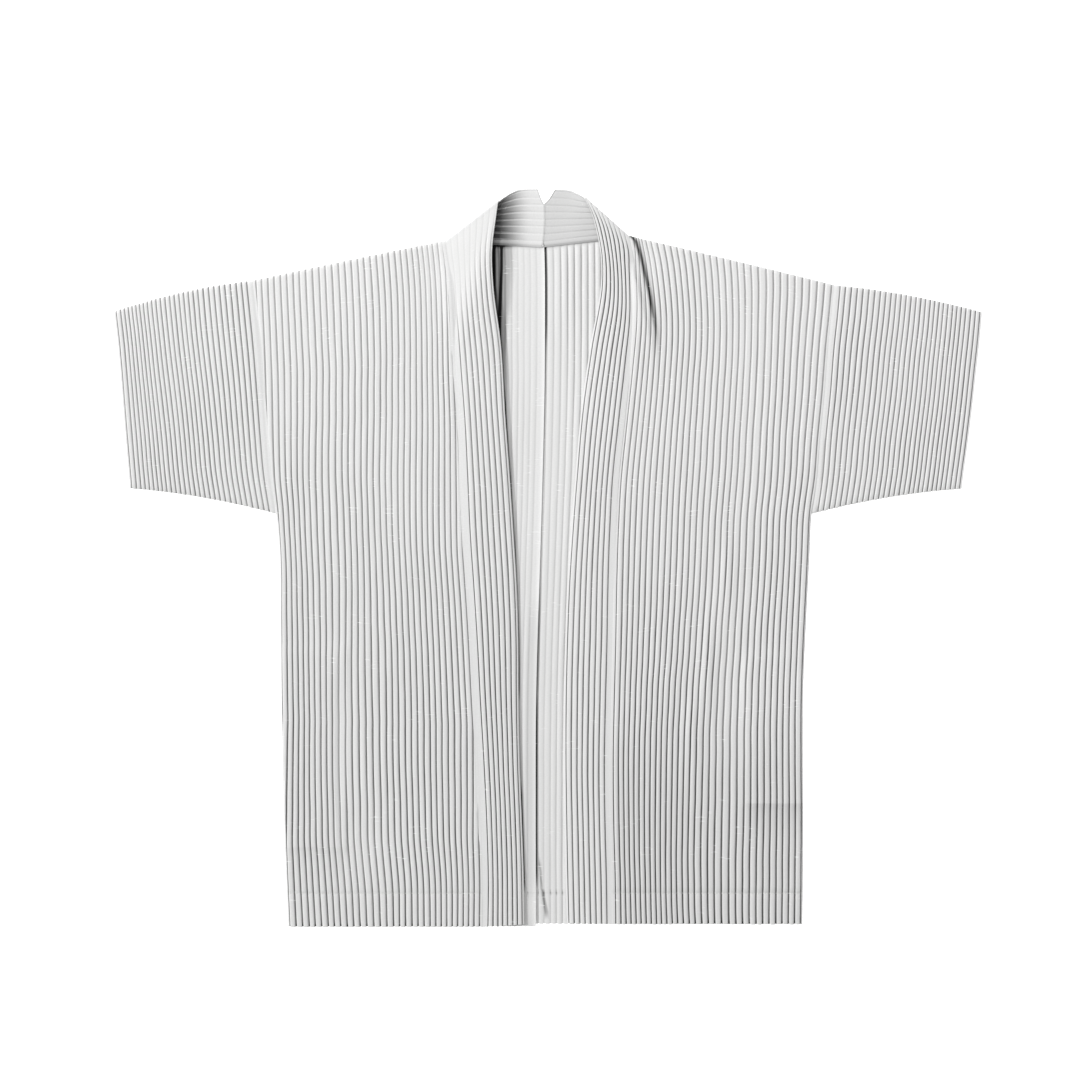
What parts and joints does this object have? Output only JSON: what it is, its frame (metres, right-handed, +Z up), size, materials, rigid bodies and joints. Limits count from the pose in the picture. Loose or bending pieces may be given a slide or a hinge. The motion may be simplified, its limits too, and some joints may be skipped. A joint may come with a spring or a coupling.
{
  "type": "pleated jacket",
  "caption": "Open-front pleated jacket of kimono cut with short wide sleeves and a collar band that folds over at the neck, laid flat.",
  "frame": {"origin": "centre of the laid garment's outline, on the surface it lies on", "axes": "+X to the viewer's right across the garment, +Y from hem to neck, +Z up from the surface"},
  "size_m": [0.9104, 0.7744, 0.0092],
  "materials": {
    "pleated_cloth": "matt heat-set pleated polyester, off-white",
    "back_cloth": "matt heat-set pleated polyester, off-white",
    "band_cloth": "matt heat-set pleated polyester, off-white",
    "pocket_cloth": "plain woven polyester pocketing, off-white"
  },
  "bodies": {
    "root": {"back_left": "back_cloth", "back_right": "back_cloth", "front_left": "pleated_cloth", "front_right": "pleated_cloth", "sleeve_left": "pleated_cloth", "sleeve_right": "pleated_cloth", "band_left": "band_cloth", "band_right": "band_cloth", "pocket_bag_left": "pocket_cloth", "pocket_bag_right": "pocket_cloth"}
  },
  "joints": []
}
